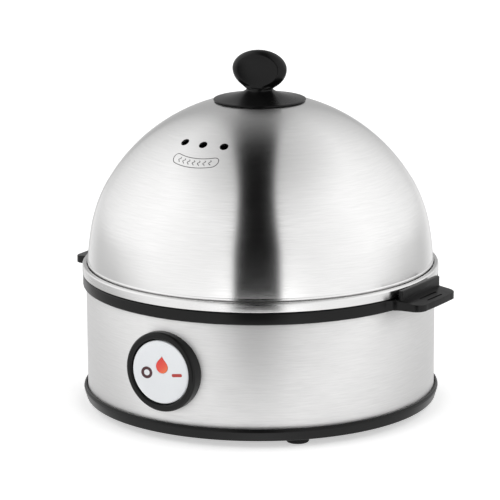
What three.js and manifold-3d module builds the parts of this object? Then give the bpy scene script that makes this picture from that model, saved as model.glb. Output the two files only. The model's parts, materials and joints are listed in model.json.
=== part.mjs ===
// Seven-egg electric egg cooker. Millimetres, +Z up, the table at z = 0, the switch facing -Y,
// the two carrying ears along X. Every mesh is one separate physical piece.
import * as THREE from "three";
import { mergeVertices } from "three/addons/utils/BufferGeometryUtils.js";
import Module from "manifold-3d";

const wasm = await Module();
wasm.setup();

// ---- Driving dimensions -------------------------------------------------------------------------
const GAP = 0.3; // clearance kept between pieces that touch
const ROUND = 40; // facets round the large turned pieces
const SMALL_ROUND = 12; // facets round screws, feet and other small turned pieces

const SLEEVE_R = 85; // outside of the steel sleeve
const SHEET = 0.8; // sheet thickness of the sleeve and the bowl
const SLEEVE_BOTTOM = 5.6;
const SLEEVE_TOP = 62;
const BASE_BOTTOM = 3.5; // underside of the base pan above the table
const BASE_TOP = 9.4; // lip round the foot of the sleeve
const PAN_FLOOR = 5.5; // upper face of the base pan's floor
const PAN_GROOVE = { inner: 83.9, outer: 85.3, floor: 5.3 }; // takes the foot of the sleeve
const PAN_WALL_R = 82.2; // inside of the wall behind the groove
const COLLAR_BOTTOM = 59.4;
const COLLAR_TOP = 65;
const COLLAR_R = 86.6;
const BAND_BOTTOM = 65.5; // rolled rim of the bowl, standing on the collar
const BAND_TOP = 69.9;
const BAND_R = 86.8;
const BAND_INNER_R = 84.7; // the rim is folded back on itself outside the lid's foot

const BOWL_FLOOR = 48;
const BOWL_FLOOR_R = 57;
const RACK_LEDGE = 64;
const RACK_LEDGE_R = 80.2;
const RACK_R = 79.6;
const RACK_T = 2;
const RACK_LIP = 1.6; // height and width of the lip round the rack
const RACK_GRIP = { inner: 70, outer: 72.5, half: 8, height: 15 };
const LID_LEDGE = 67;

const LID_T = 1; // lid sheet thickness
const LID_FOOT = LID_LEDGE + GAP;
const LID_FOOT_R = 84.35; // outside of the lid's upright foot
const LID_FOOT_TOP = 71;
const SHOULDER_R = 67.9; // lower, tighter arc of the dome
const SHOULDER_X = 15.44;
const SHOULDER_Z = 75.22;
const CROWN_R = 85.93; // upper arc of the dome, centred on the axis
const CROWN_Z = 65.89;
const SHOULDER_FROM = THREE.MathUtils.degToRad(9.58);
const CROWN_FROM = THREE.MathUtils.degToRad(31.14);
const APEX = CROWN_Z + CROWN_R;

const FLANGE_R = 22.4; // foot of the knob
const FLANGE_Z = 149.15; // underside of the flange's edge, on the dome
const FLANGE_EDGE = 0.5; // thickness of the flange at its edge
const NECK_R = 6.2;
const NECK_Z = 154.4;
const KNOB_HEAD = { halfWidth: 13.5, halfDepth: 7.3, above: 9.1, below: 10.5, z: 164.2 };
const KNOB_DISH = { halfWidth: 14.5, halfDepth: 3.4, halfHeight: 10.1, y: 7 }; // thumb dish cutter
const KNOB_TURN = THREE.MathUtils.degToRad(15); // the knob's flat side is turned this far from the switch
const KNOB_SCREW_R = 2;
const KNOB_SCREW_TIP = 158.5;

const VENT_R = 2.1; // steam holes
const VENT_RING_R = 50.2;
const VENT_STEP = THREE.MathUtils.degToRad(12.5);

const EAR_BOTTOM = 60;
const EAR_TOP = 64.8; // at the collar; the ear's top falls towards its tip
const EAR_FALL = 0.12; // height lost for each millimetre outwards
const EAR_TIP = 99.6; // ear's end from the axis
const EAR_GROOVES = [{ x: 93.2, half: 7.5 }, { x: 96.8, half: 6.5 }];
const EAR_CORNER = { from: 92.8, x: 100, y: 18.4 }; // pull of the rounded corners
const GUARD_TOP = 69.2;
const GUARD_FROM = 87.2;
const GUARD_TO = 89.6;
const GUARD_HALF = 18;

const SWITCH_Z = 34.1; // centre of the switch
const BEZEL_R = 19.1;
const BEZEL_FRONT = 89.2; // from the axis to the rounded front of the bezel
const BEZEL_BORE = 15.8;
const BARREL_R = 17.2;
const ROCKER_R = 15.2;
const ROCKER_FACE = 88.4; // edge of the dished rocker face
const ROCKER_PIVOT = 84.5;
const ROCKER_REST = THREE.MathUtils.degToRad(3); // the "on" side is pressed in

const POST_RING_R = 76; // screw posts, base screws and feet share this circle
const POST_ANGLES = [45, 135, 225, 315].map(THREE.MathUtils.degToRad);
const FOOT_R = 5.5;
const FOOT_TOP = 4.5;
const SCREW_R = 1.6; // shank of the base and bridge screws
const SCREW_HEAD_R = 3.2;
const POST_R = 3.6; // hollow posts under the collar
const POST_TOP = 55;
const LUG_AT = 74; // distance of the two bridge lugs from the axis
const WEB_HALF = 1.5; // half thickness of the webs that join posts to the collar's rib
const RIB_INNER = 81.3; // rib under the collar, inside the sleeve
const RIB_OUTER = 83.8;
const RIB_BOTTOM = 53;
const COLLAR_SEAT = 62.5; // the sleeve's top edge sits under this step
const BOSS_R = 6.6;
const BOSS_TOP = 12;
const EGG_HOLE_R = 17.5;
const EGG_RING_R = 50.5;
const GLAND_Z = 18;
const GLAND_NECK_R = 5.2; // where the gland passes through the sleeve
const CLAMP_Y = 66; // cord clamp posts, just inside the gland
const CLAMP_X = 8;
const CLAMP_SCREW_R = 1.2;
const BRIDGE_Z = 34.5; // strip that presses the heater against the bowl
const BRIDGE_T = 1.5;

// ---- Materials ----------------------------------------------------------------------------------
const finish = (color, roughness, metalness) =>
  new THREE.MeshStandardMaterial({ color, roughness, metalness });
const brushedSteel = finish(0xc9cac8, 0.32, 1);
const polishedSteel = finish(0xdadbd9, 0.15, 1);
const blackPlastic = finish(0x1f1f20, 0.45, 0);
const darkPlastic = finish(0x2b2b2d, 0.55, 0);
const whitePlastic = finish(0xe3e4e5, 0.3, 0);
const redLens = finish(0xe4472e, 0.2, 0);
const rubber = finish(0x18181a, 0.8, 0);
const silicone = finish(0xb9bab8, 0.7, 0);
const zinc = finish(0xb4b6b8, 0.35, 1);
const aluminium = finish(0xb8babd, 0.45, 1);
const ceramic = finish(0xe8e4da, 0.6, 0);
const wireRed = finish(0x9c2f22, 0.5, 0);
const wireBlue = finish(0x2c4f8c, 0.5, 0);
const wireGreen = finish(0x5d8f3a, 0.5, 0);

// ---- Solids -------------------------------------------------------------------------------------
// A closed three.js geometry becomes a solid that can be joined and cut.
function solid(geometry) {
  const bare = geometry.clone();
  bare.deleteAttribute("normal");
  bare.deleteAttribute("uv");
  const merged = mergeVertices(bare, 1e-4);
  const corners = merged.index.array;
  const kept = [];
  for (let i = 0; i < corners.length; i += 3) {
    const [a, b, c] = corners.slice(i, i + 3);
    if (a !== b && b !== c && c !== a) kept.push(a, b, c);
  }
  const vertProperties = new Float32Array(merged.attributes.position.array);
  const build = (triVerts) => new wasm.Manifold(new wasm.Mesh({ numProp: 3, vertProperties, triVerts }));
  const made = build(new Uint32Array(kept));
  return made.volume() > 0 ? made : build(new Uint32Array(kept.reverse()));
}

const join = (first, ...others) => others.reduce((all, next) => all.add(next), first);
const cut = (first, ...others) => others.reduce((all, next) => all.subtract(next), first);

function geometryOf(made) {
  const { vertProperties, triVerts } = made.getMesh();
  const geometry = new THREE.BufferGeometry();
  geometry.setAttribute("position", new THREE.BufferAttribute(vertProperties, 3));
  geometry.setIndex(new THREE.BufferAttribute(triVerts, 1));
  geometry.computeVertexNormals();
  return geometry;
}

const root = new THREE.Group();

function addPiece(name, made, material) {
  const mesh = new THREE.Mesh(geometryOf(made), material);
  mesh.name = name;
  root.add(mesh);
}

// Turned about Z from a path of (radius, height); an open path starts and ends on the axis.
function turned(path, facets = ROUND, arcSteps = 3) {
  const points = path.getPoints(arcSteps);
  const lathe = new THREE.LatheGeometry(points, facets).rotateX(Math.PI / 2);
  return solid(lathe);
}

function outline(points) {
  const path = new THREE.Path();
  path.setFromPoints(points.map(([x, y]) => new THREE.Vector2(x, y)));
  return path;
}

const closed = (points) => outline([...points, points[0]]);
const rod = (radius, from, to, facets = SMALL_ROUND) =>
  turned(outline([[0, from], [radius, from], [radius, to], [0, to]]), facets);
const ring = (inner, outer, from, to, facets = ROUND) =>
  turned(closed([[inner, from], [outer, from], [outer, to], [inner, to]]), facets);
const box = (low, high) => {
  const size = high.map((value, axis) => value - low[axis]);
  const middle = high.map((value, axis) => (value + low[axis]) / 2);
  return solid(new THREE.BoxGeometry(...size).translate(...middle));
};
function extruded(shape, from, to, curveSegments = 6) {
  const settings = { depth: to - from, bevelEnabled: false, curveSegments };
  return solid(new THREE.ExtrudeGeometry(shape, settings).translate(0, 0, from));
}

// Lays a solid turned about Z down, so that its +Z points out of the front (-Y), at the switch's height.
const facingFront = (made, height = SWITCH_Z) => made.rotate([90, 0, 0]).translate([0, 0, height]);
const facingBack = (made, height) => made.rotate([-90, 0, 0]).translate([0, 0, height]);
const onRing = (radius, angle) => [radius * Math.cos(angle), radius * Math.sin(angle), 0];

function tube(points, radius, steps, halfSides) {
  const corners = points.map((point) => new THREE.Vector3(...point));
  const path = new THREE.CatmullRomCurve3(corners, false, "centripetal");
  const section = new THREE.Shape().absarc(0, 0, radius, 0, 2 * Math.PI);
  return solid(new THREE.ExtrudeGeometry(section, { extrudePath: path, steps, curveSegments: halfSides }));
}

// ---- Lid ----------------------------------------------------------------------------------------
function arcPoints(x, z, radius, from, to, steps) {
  return Array.from({ length: steps + 1 }, (_, i) => {
    const angle = from + ((to - from) * i) / steps;
    return new THREE.Vector2(x + radius * Math.cos(angle), z + radius * Math.sin(angle));
  });
}

// Dome surface moved inwards by depth: crown arc, shoulder arc, slanting wall, upright foot.
function domeCurve(depth) {
  const crown = arcPoints(0, CROWN_Z, CROWN_R - depth, Math.PI / 2, CROWN_FROM, 6);
  const shoulder = arcPoints(SHOULDER_X, SHOULDER_Z, SHOULDER_R - depth, CROWN_FROM, SHOULDER_FROM, 3);
  const wallTop = shoulder[shoulder.length - 1];
  const wallLength = 10;
  const wall = new THREE.Vector2(
    wallTop.x + wallLength * Math.sin(SHOULDER_FROM),
    wallTop.y - wallLength * Math.cos(SHOULDER_FROM),
  );
  const foot = [[LID_FOOT_R, LID_FOOT_TOP], [LID_FOOT_R, LID_FOOT]];
  return [...crown, ...shoulder.slice(1), wall, ...foot.map(([r, z]) => new THREE.Vector2(r - depth, z))];
}

function dome() {
  const profile = [...domeCurve(0), ...domeCurve(LID_T).reverse()];
  return solid(new THREE.LatheGeometry(profile, ROUND).rotateX(Math.PI / 2));
}

function steamHole(turn) {
  const tilt = Math.asin(VENT_RING_R / CROWN_R);
  const drill = rod(VENT_R, CROWN_R - 6, CROWN_R + 6, 16);
  return drill.rotate([THREE.MathUtils.radToDeg(tilt), 0, 0]).rotate([0, 0, THREE.MathUtils.radToDeg(turn)])
    .translate([0, 0, CROWN_Z]);
}

const steamHoles = [-VENT_STEP, 0, VENT_STEP].map(steamHole);
const knobHole = rod(KNOB_SCREW_R + GAP, APEX - 8, APEX + 8);
addPiece("lid_dome", cut(dome(), ...steamHoles, knobHole), brushedSteel);

// Flared flange seated on the dome, waist, and flattened head with a thumb dish on each side.
function knob() {
  const seatR = CROWN_R + GAP;
  const stem = new THREE.Path();
  stem.absarc(0, CROWN_Z, seatR, Math.PI / 2, Math.acos(FLANGE_R / seatR), true);
  stem.lineTo(FLANGE_R, FLANGE_Z + FLANGE_EDGE / 2);
  stem.lineTo(FLANGE_R - 0.3, FLANGE_Z + FLANGE_EDGE);
  stem.quadraticCurveTo(8.6, APEX - 0.1, NECK_R, NECK_Z);
  stem.lineTo(NECK_R, NECK_Z + 2);
  stem.lineTo(0, NECK_Z + 3);
  const head = new THREE.SphereGeometry(1, 20, 12).rotateX(Math.PI / 2);
  const place = head.attributes.position;
  for (let i = 0; i < place.count; i += 1) {
    const up = place.getZ(i);
    const reach = up > 0 ? KNOB_HEAD.above : KNOB_HEAD.below;
    place.setX(i, place.getX(i) * KNOB_HEAD.halfWidth);
    place.setY(i, place.getY(i) * KNOB_HEAD.halfDepth);
    place.setZ(i, KNOB_HEAD.z + up * reach);
  }
  const { halfWidth, halfDepth, halfHeight, y } = KNOB_DISH;
  const dishes = [-1, 1].map((side) =>
    solid(new THREE.SphereGeometry(1, 20, 12).scale(halfWidth, halfDepth, halfHeight))
      .translate([0, side * y, KNOB_HEAD.z]));
  const bore = rod(KNOB_SCREW_R + GAP, FLANGE_Z - 5, KNOB_SCREW_TIP + 1.5);
  const shape = join(turned(stem, 24, 2), solid(head));
  return cut(shape, ...dishes, bore).rotate([0, 0, THREE.MathUtils.radToDeg(KNOB_TURN)]);
}
addPiece("lid_knob", knob(), blackPlastic);

const INSIDE_APEX = APEX - LID_T;
addPiece("knob_gasket", ring(KNOB_SCREW_R + GAP, 8, INSIDE_APEX - 1.9, INSIDE_APEX - 0.7, 24), silicone);
addPiece("knob_washer", ring(KNOB_SCREW_R + GAP, 7, INSIDE_APEX - 3.2, INSIDE_APEX - 2.2, 24), zinc);
addPiece(
  "knob_screw",
  join(rod(3.8, INSIDE_APEX - 6, INSIDE_APEX - 3.5), rod(KNOB_SCREW_R, INSIDE_APEX - 4, KNOB_SCREW_TIP)),
  zinc,
);

// ---- Egg rack -----------------------------------------------------------------------------------
function eggRack() {
  const bottom = RACK_LEDGE + GAP;
  const top = bottom + RACK_T;
  const lipTop = top + RACK_LIP;
  const lipInner = RACK_R - RACK_LIP;
  const section = [
    [0, bottom], [RACK_R, bottom], [RACK_R, lipTop], [lipInner, lipTop], [lipInner, top], [0, top],
  ];
  const hole = rod(EGG_HOLE_R, bottom - 4, top + 6, 24);
  const holes = [0, 1, 2, 3, 4, 5].map((i) => hole.translate(onRing(EGG_RING_R, (i * Math.PI) / 3)));
  // A grip rises beside the rim at the two widest webs between the outer holes.
  const { inner, outer, half, height } = RACK_GRIP;
  const grips = [90, -90].map((degrees) =>
    box([inner, -half, top - 0.5], [outer, half, top + height]).rotate([0, 0, degrees]));
  return cut(join(turned(outline(section)), ...grips), hole, ...holes);
}
addPiece("egg_rack", eggRack(), darkPlastic);

// ---- Heating bowl and collar --------------------------------------------------------------------
function bowl() {
  const path = new THREE.Path();
  path.moveTo(0, BOWL_FLOOR);
  path.lineTo(BOWL_FLOOR_R, BOWL_FLOOR);
  path.quadraticCurveTo(66.5, BOWL_FLOOR + 0.5, 70, 57);
  path.quadraticCurveTo(73, RACK_LEDGE - 0.3, 76.5, RACK_LEDGE);
  path.lineTo(RACK_LEDGE_R, RACK_LEDGE);
  path.lineTo(RACK_LEDGE_R + 0.4, LID_LEDGE);
  path.lineTo(BAND_INNER_R, LID_LEDGE);
  path.lineTo(BAND_INNER_R, BAND_TOP - 0.4);
  path.lineTo(BAND_INNER_R + 0.3, BAND_TOP);
  path.lineTo(BAND_INNER_R + 0.7, BAND_TOP);
  path.quadraticCurveTo(BAND_R, BAND_TOP - 0.2, BAND_R, BAND_TOP - 1.6);
  path.lineTo(BAND_R, BAND_BOTTOM);
  path.lineTo(BAND_R - SHEET, BAND_BOTTOM);
  path.lineTo(BAND_R - SHEET, LID_LEDGE - SHEET);
  path.lineTo(RACK_LEDGE_R + 1.1, LID_LEDGE - SHEET);
  path.lineTo(RACK_LEDGE_R + 0.7, RACK_LEDGE - SHEET);
  path.lineTo(76.6, RACK_LEDGE - SHEET);
  path.quadraticCurveTo(73.7, RACK_LEDGE - 1.2, 70.8, 56.8);
  path.quadraticCurveTo(67, BOWL_FLOOR - 0.4, BOWL_FLOOR_R, BOWL_FLOOR - SHEET);
  path.lineTo(0, BOWL_FLOOR - SHEET);
  return turned(path, ROUND, 2);
}
addPiece("heating_bowl", bowl(), polishedSteel);
addPiece("bowl_gasket", ring(81.4, 84.4, COLLAR_TOP + GAP, COLLAR_TOP + 0.9), silicone);

// Ear seen from above: a tongue with rounded corners that leaves the collar in small fillets.
function earShape() {
  const shape = new THREE.Shape();
  shape.moveTo(83.4, -23.4);
  shape.quadraticCurveTo(84.5, -19.35, 90, -18.6);
  shape.lineTo(EAR_CORNER.from, -18.3);
  shape.quadraticCurveTo(EAR_CORNER.x, -EAR_CORNER.y, EAR_TIP - 0.3, -11);
  shape.quadraticCurveTo(EAR_TIP + 0.3, 0, EAR_TIP - 0.3, 11);
  shape.quadraticCurveTo(EAR_CORNER.x, EAR_CORNER.y, EAR_CORNER.from, 18.3);
  shape.lineTo(90, 18.6);
  shape.quadraticCurveTo(84.5, 19.35, 83.4, 23.4);
  shape.lineTo(83.4, -23.4);
  return shape;
}

// Plate under a top face that falls outwards, with two grooves and a guard that stands across it.
function ear() {
  const topAt = (x) => EAR_TOP - (x - COLLAR_R) * EAR_FALL;
  const far = EAR_TIP + 5;
  const fall = turned(outline([[0, 50], [far, 50], [far, topAt(far)], [COLLAR_R, EAR_TOP], [0, EAR_TOP]]));
  const plate = extruded(earShape(), EAR_BOTTOM, EAR_TOP, 4).intersect(fall);
  const guard = box([GUARD_FROM, -GUARD_HALF, EAR_TOP - 1], [GUARD_TO, GUARD_HALF, GUARD_TOP]);
  const inner = rod(COLLAR_R - 0.6, 50, 80, ROUND);
  const grooves = EAR_GROOVES.map(({ x, half }) =>
    box([x - 0.5, -half, topAt(x) - 0.5], [x + 0.5, half, EAR_TOP + 1]));
  return cut(join(plate, guard), inner, ...grooves);
}

// Hollow post with a web on its +X side that reaches the collar's rib.
function post(from, webFrom, webReach, boreTop) {
  const web = box([POST_R - 1.6, -WEB_HALF, webFrom], [webReach, WEB_HALF, POST_TOP]);
  return cut(join(rod(POST_R, from, POST_TOP), web), rod(SCREW_R + GAP, from - 1, boreTop));
}

function collar() {
  const section = closed([
    [85.3, COLLAR_BOTTOM], [COLLAR_R - 0.2, COLLAR_BOTTOM], [COLLAR_R, COLLAR_BOTTOM + 0.4],
    [COLLAR_R, COLLAR_TOP - 0.5], [COLLAR_R - 0.5, COLLAR_TOP], [RIB_INNER, COLLAR_TOP],
    [RIB_INNER, RIB_BOTTOM], [RIB_OUTER, RIB_BOTTOM], [RIB_OUTER, COLLAR_SEAT], [85.3, COLLAR_SEAT],
  ]);
  const posts = POST_ANGLES.map((angle) =>
    post(BOSS_TOP + GAP, 40, 6.6, 25)
      .rotate([0, 0, THREE.MathUtils.radToDeg(angle)])
      .translate(onRing(POST_RING_R, angle)));
  const lugs = [0, 180].map((degrees) =>
    post(BRIDGE_Z + BRIDGE_T + GAP, 44, 8.6, 50).translate([LUG_AT, 0, 0]).rotate([0, 0, degrees]));
  return join(turned(section), ...posts, ...lugs, ear(), ear().rotate([0, 0, 180]));
}

// ---- Heating ------------------------------------------------------------------------------------
const HEATER_TOP = BOWL_FLOOR - SHEET - GAP;
const HEATER_BOTTOM = HEATER_TOP - 3;
const ELEMENT_R = 3.1;
const ELEMENT_Z = HEATER_BOTTOM - 1 - ELEMENT_R;

addPiece("housing_collar", collar(), blackPlastic);
addPiece("heater_plate", rod(52, HEATER_BOTTOM, HEATER_TOP, 48), aluminium);

// Open loop whose two cold ends drop towards the terminal block at the back.
function element() {
  const loopR = 38;
  const halfOpening = 30;
  const end = (side) => [side * 24, loopR * 0.72 + 4, ELEMENT_Z - 12];
  const points = [end(1)];
  for (let i = 0; i <= 10; i += 1) {
    const angle = THREE.MathUtils.degToRad(90 - halfOpening - (i * (360 - 2 * halfOpening)) / 10);
    points.push([loopR * Math.cos(angle), loopR * Math.sin(angle), ELEMENT_Z]);
  }
  return [...points, end(-1)];
}
addPiece("heating_element", tube(element(), ELEMENT_R, 30, 4), zinc);

function bridge() {
  const pad = rod(9, BRIDGE_Z, HEATER_BOTTOM - GAP, 24);
  const strip = box([-79, -7, BRIDGE_Z], [79, 7, BRIDGE_Z + BRIDGE_T]).intersect(rod(78.5, 30, 40, 48));
  const holes = [1, -1].map((side) => rod(SCREW_R + GAP, 30, 40).translate([side * LUG_AT, 0, 0]));
  return cut(join(strip, pad), ...holes);
}
addPiece("heater_bridge", bridge(), zinc);
[1, -1].forEach((side, index) => {
  const screw = join(rod(3.1, BRIDGE_Z - 2.3, BRIDGE_Z - GAP), rod(SCREW_R, BRIDGE_Z - 1, 46));
  addPiece(`bridge_screw_${index + 1}`, screw.translate([side * LUG_AT, 0, 0]), zinc);
});

const THERMOSTAT_AT = [0, -21, 0];
addPiece(
  "thermostat",
  join(rod(8, 33, HEATER_BOTTOM - GAP, 24), rod(10.5, 40, 41.2, 24)).translate(THERMOSTAT_AT),
  ceramic,
);
const FUSE_R = 1.9;
const FUSE_AT = [0, 22, HEATER_BOTTOM - GAP - 2.2];
const alongX = (made, [x, y, z]) => made.rotate([0, 90, 0]).translate([x, y, z]);
addPiece("thermal_fuse", alongX(rod(FUSE_R, -8, 8, 16), FUSE_AT), zinc);
addPiece(
  "fuse_clip",
  cut(
    box([-3, FUSE_AT[1] - 4.5, FUSE_AT[2] - 3.2], [3, FUSE_AT[1] + 4.5, HEATER_BOTTOM - GAP]),
    alongX(rod(FUSE_R + GAP, -9, 9, 16), FUSE_AT),
    box([-4, FUSE_AT[1] - 2.2, FUSE_AT[2]], [4, FUSE_AT[1] + 2.2, HEATER_BOTTOM]),
  ),
  aluminium,
);

// ---- Sleeve, base pan, feet and base screws -----------------------------------------------------
addPiece(
  "body_shell",
  cut(
    ring(SLEEVE_R - SHEET, SLEEVE_R, SLEEVE_BOTTOM, SLEEVE_TOP),
    facingFront(rod(BARREL_R + GAP, 70, 100, 32)),
    facingBack(rod(GLAND_NECK_R + 0.4, 70, 100), GLAND_Z),
  ),
  brushedSteel,
);

function basePan() {
  const { inner, outer, floor } = PAN_GROOVE;
  const shell = turned(
    outline([
      [0, BASE_BOTTOM], [85.2, BASE_BOTTOM], [85.8, BASE_BOTTOM + 0.5], [87, 8], [86.9, 8.5], [86.5, 8.7],
      [86.3, BASE_TOP - 0.1], [85.9, BASE_TOP], [85.4, BASE_TOP - 0.5], [outer, floor], [inner, floor],
      [inner, BOSS_TOP], [PAN_WALL_R, BOSS_TOP], [PAN_WALL_R, PAN_FLOOR], [0, PAN_FLOOR],
    ]),
  );
  const bosses = POST_ANGLES.map((angle) => rod(BOSS_R, 5, BOSS_TOP).translate(onRing(POST_RING_R, angle)));
  const wells = POST_ANGLES.flatMap((angle) => [
    rod(FOOT_R + GAP, BASE_BOTTOM - 1, FOOT_TOP + GAP).translate(onRing(POST_RING_R, angle)),
    rod(SCREW_HEAD_R + 0.4, 4, 7.6).translate(onRing(POST_RING_R, angle)),
    rod(SCREW_R + GAP, 7, BOSS_TOP + 1).translate(onRing(POST_RING_R, angle)),
  ]);
  const vents = [-30, -20, -10, 0, 10, 20, 30].map((x) => box([x - 1.5, -14, 0], [x + 1.5, 14, 8]));
  const clampPosts = [-CLAMP_X, CLAMP_X].map((x) =>
    cut(rod(3.2, 5, 19.7), rod(CLAMP_SCREW_R + GAP, 9, 21)).translate([x, CLAMP_Y, 0]));
  const saddle = box([-4.5, CLAMP_Y - 2.5, 5], [4.5, CLAMP_Y + 2.5, 12.8]);
  const glandWay = facingBack(rod(6.6, 78, 84.6), GLAND_Z);
  return cut(join(shell, ...bosses, ...clampPosts, saddle), ...wells, ...vents, glandWay);
}
addPiece("base_pan", basePan(), blackPlastic);

POST_ANGLES.forEach((angle, index) => {
  const section = [[0, 0], [FOOT_R - 0.7, 0], [FOOT_R, 0.8], [FOOT_R, FOOT_TOP], [0, FOOT_TOP]];
  const foot = turned(outline(section), 24);
  addPiece(`rubber_foot_${index + 1}`, foot.translate(onRing(POST_RING_R, angle)), rubber);
  const screw = join(rod(SCREW_HEAD_R, 5.1, 7.3), rod(SCREW_R, 7, 22));
  addPiece(`base_screw_${index + 1}`, screw.translate(onRing(POST_RING_R, angle)), zinc);
});

// ---- Switch -------------------------------------------------------------------------------------
// Heights along the turned pieces here are distances from the cooker's axis towards the front.
function bezel() {
  const path = new THREE.Path();
  path.moveTo(BEZEL_BORE, 76);
  path.lineTo(BARREL_R, 76);
  path.lineTo(BARREL_R, 81);
  path.lineTo(BEZEL_R, 81);
  path.lineTo(BEZEL_R, 86.6);
  path.quadraticCurveTo(BEZEL_R - 0.3, BEZEL_FRONT - 0.5, BEZEL_R - 2, BEZEL_FRONT);
  path.quadraticCurveTo(BEZEL_BORE + 0.5, BEZEL_FRONT, BEZEL_BORE, 88);
  path.lineTo(BEZEL_BORE, 76);
  const sleeve = ring(60, SLEEVE_R + GAP, 0, 80).subtract(facingFront(rod(BARREL_R + 0.02, 0, 120, 40)));
  const pinHoles = [1, -1].map((side) => pivotRod(1.4, side, 14, 18.5));
  return cut(facingFront(turned(path, 28, 2)), sleeve, ...pinHoles);
}

// A rod on the rocker's upright pivot axis, between two distances from the switch's centre.
function pivotRod(radius, side, from, to) {
  return rod(radius, from, to, 12).rotate([side > 0 ? 0 : 180, 0, 0]).translate([0, -ROCKER_PIVOT, SWITCH_Z]);
}

const aboutPivot = (made, angle) =>
  made.translate([0, ROCKER_PIVOT, 0])
    .rotate([0, 0, THREE.MathUtils.radToDeg(angle)])
    .translate([0, -ROCKER_PIVOT, 0]);

function dropShape(grow) {
  const radius = 3.1 + grow;
  const centre = 2.3;
  const shape = new THREE.Shape();
  shape.moveTo(0.2, 7.4 + 1.5 * grow);
  shape.bezierCurveTo(-0.5, 6.2, -radius, 4.7, -radius, centre);
  shape.absarc(0, centre, radius, Math.PI, 2 * Math.PI, false);
  shape.bezierCurveTo(radius, 4.4, 1 + grow, 5.2, 0.2, 7.4 + 1.5 * grow);
  return shape;
}

const placedDrop = (grow, from, to) => extruded(dropShape(grow), from, to, 5);

function rocker() {
  const dishDepth = 1.2;
  const face = new THREE.Path();
  face.moveTo(0, ROCKER_FACE - 3.4);
  face.lineTo(ROCKER_R, ROCKER_FACE - 3.4);
  face.lineTo(ROCKER_R, ROCKER_FACE - 0.4);
  face.lineTo(ROCKER_R - 0.4, ROCKER_FACE);
  face.quadraticCurveTo(ROCKER_R / 2, ROCKER_FACE - dishDepth, 0, ROCKER_FACE - dishDepth);
  const disc = cut(turned(face, 28, 2), placedDrop(GAP, 70, 95), rod(11.5, 80, ROCKER_FACE - 2.6, 24)
    .subtract(box([-4, -20, 0], [4, -9, 100])).subtract(box([-4, 9, 0], [4, 20, 100])));
  const lugs = [1, -1].map((side) => {
    const low = side > 0 ? 9.2 : -12.6;
    return box([-3, low, ROCKER_PIVOT - 3], [3, low + 3.4, ROCKER_FACE - 3]);
  });
  const tongue = box([-1.2, -9.5, 78.6], [1.2, -6, ROCKER_FACE - 2]);
  const holes = [1, -1].map((side) => pivotRod(1.4, side, 8, 18));
  return aboutPivot(cut(facingFront(join(disc, ...lugs, tongue)), ...holes), ROCKER_REST);
}

addPiece("switch_bezel", bezel(), blackPlastic);
addPiece("rocker", rocker(), whitePlastic);
addPiece("indicator_window", aboutPivot(facingFront(placedDrop(0, 86, 87.3)), ROCKER_REST), redLens);
addPiece("pivot_pin_upper", pivotRod(1.1, 1, 9.4, 16.6), zinc);
addPiece("pivot_pin_lower", pivotRod(1.1, -1, 9.4, 16.6), zinc);
addPiece("indicator_lamp", facingFront(rod(2.2, 76.3, 83.2, 16)).translate([0, 0, 3]), ceramic);
addPiece("switch_module", box([-11, -75.9, SWITCH_Z - 13], [11, -64, SWITCH_Z + 10.5]), darkPlastic);

// ---- Mains entry and wiring ---------------------------------------------------------------------
// Collar inside the sleeve, neck through it and flange outside it, hollow for the cord.
function cordGland() {
  const bore = 3.6;
  const section = closed([
    [bore, 80.6], [7.4, 80.6], [7.4, 83.6], [GLAND_NECK_R, 83.6], [GLAND_NECK_R, 85.3], [8, 85.3],
    [7.4, BEZEL_FRONT], [bore, BEZEL_FRONT],
  ]);
  const sleeveWall = ring(SLEEVE_R - SHEET - GAP, SLEEVE_R + GAP, 0, 60)
    .subtract(facingBack(rod(GLAND_NECK_R + 0.05, 60, 110), GLAND_Z));
  const panWall = ring(PAN_WALL_R - GAP, PAN_GROOVE.inner + GAP, 5, BOSS_TOP + GAP)
    .subtract(facingBack(rod(6.3, 60, 110), GLAND_Z));
  return cut(facingBack(turned(section, 16), GLAND_Z), sleeveWall, panWall);
}
addPiece("cord_gland", cordGland(), blackPlastic);
addPiece(
  "cord_clamp",
  cut(
    box([-12, CLAMP_Y - 3.5, 20], [12, CLAMP_Y + 3.5, 22.5]),
    ...[-CLAMP_X, CLAMP_X].map((x) => rod(CLAMP_SCREW_R + GAP, 18, 24).translate([x, CLAMP_Y, 0])),
  ),
  darkPlastic,
);
[-CLAMP_X, CLAMP_X].forEach((x, index) => {
  const screw = join(rod(2.6, 22.8, 24.6), rod(CLAMP_SCREW_R, 10.5, 23));
  addPiece(`clamp_screw_${index + 1}`, screw.translate([x, CLAMP_Y, 0]), zinc);
});
addPiece("terminal_block", box([-15, 42, 6], [15, 53, 16]), ceramic);
addPiece(
  "buzzer",
  cut(rod(7, 5.8, 13, 24), rod(1.5, 10, 14, 12)).translate([-42, -28, 0]),
  darkPlastic,
);

const addLead = (name, material, ...points) => addPiece(name, tube(points, 1.2, 11, 3), material);
addLead("lead_live", wireRed, [-11, 41.1, 11], [-24, 26, 12], [-26, -20, 16], [-14, -52, 24], [-7, -63, 27]);
addLead("lead_lamp", wireBlue, [11, 41.1, 11], [30, 26, 12], [32, -24, 16], [16, -52, 24], [7, -63, 27]);
addLead("lead_thermostat", wireRed, [0, -63, 36], [1, -52, 33], [3, -36, 26], [2, -24, 27], [0, -21, 32.3]);
addLead("lead_element", wireBlue, [5, 41.1, 11], [6, 34, 13], [14, 28, 18], [20, 28, 22], [24, 31, 26.3]);
addLead("lead_earth", wireGreen, [-5, 41.1, 11], [-8, 30, 16], [-30, 16, 25], [-60, 4, 28], [-66, 3, 32.9]);

export default root;
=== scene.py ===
"""Electric egg cooker for seven eggs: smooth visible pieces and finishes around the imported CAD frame.

Sizes are in millimetres throughout; MM turns them into metres where a mesh is made.
+Z is up, the table is at z = 0, the switch faces -Y and the two ears point along X.
"""
import json
import math

import bmesh
import bpy
import numpy as np
from mathutils import Matrix, Vector


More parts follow.
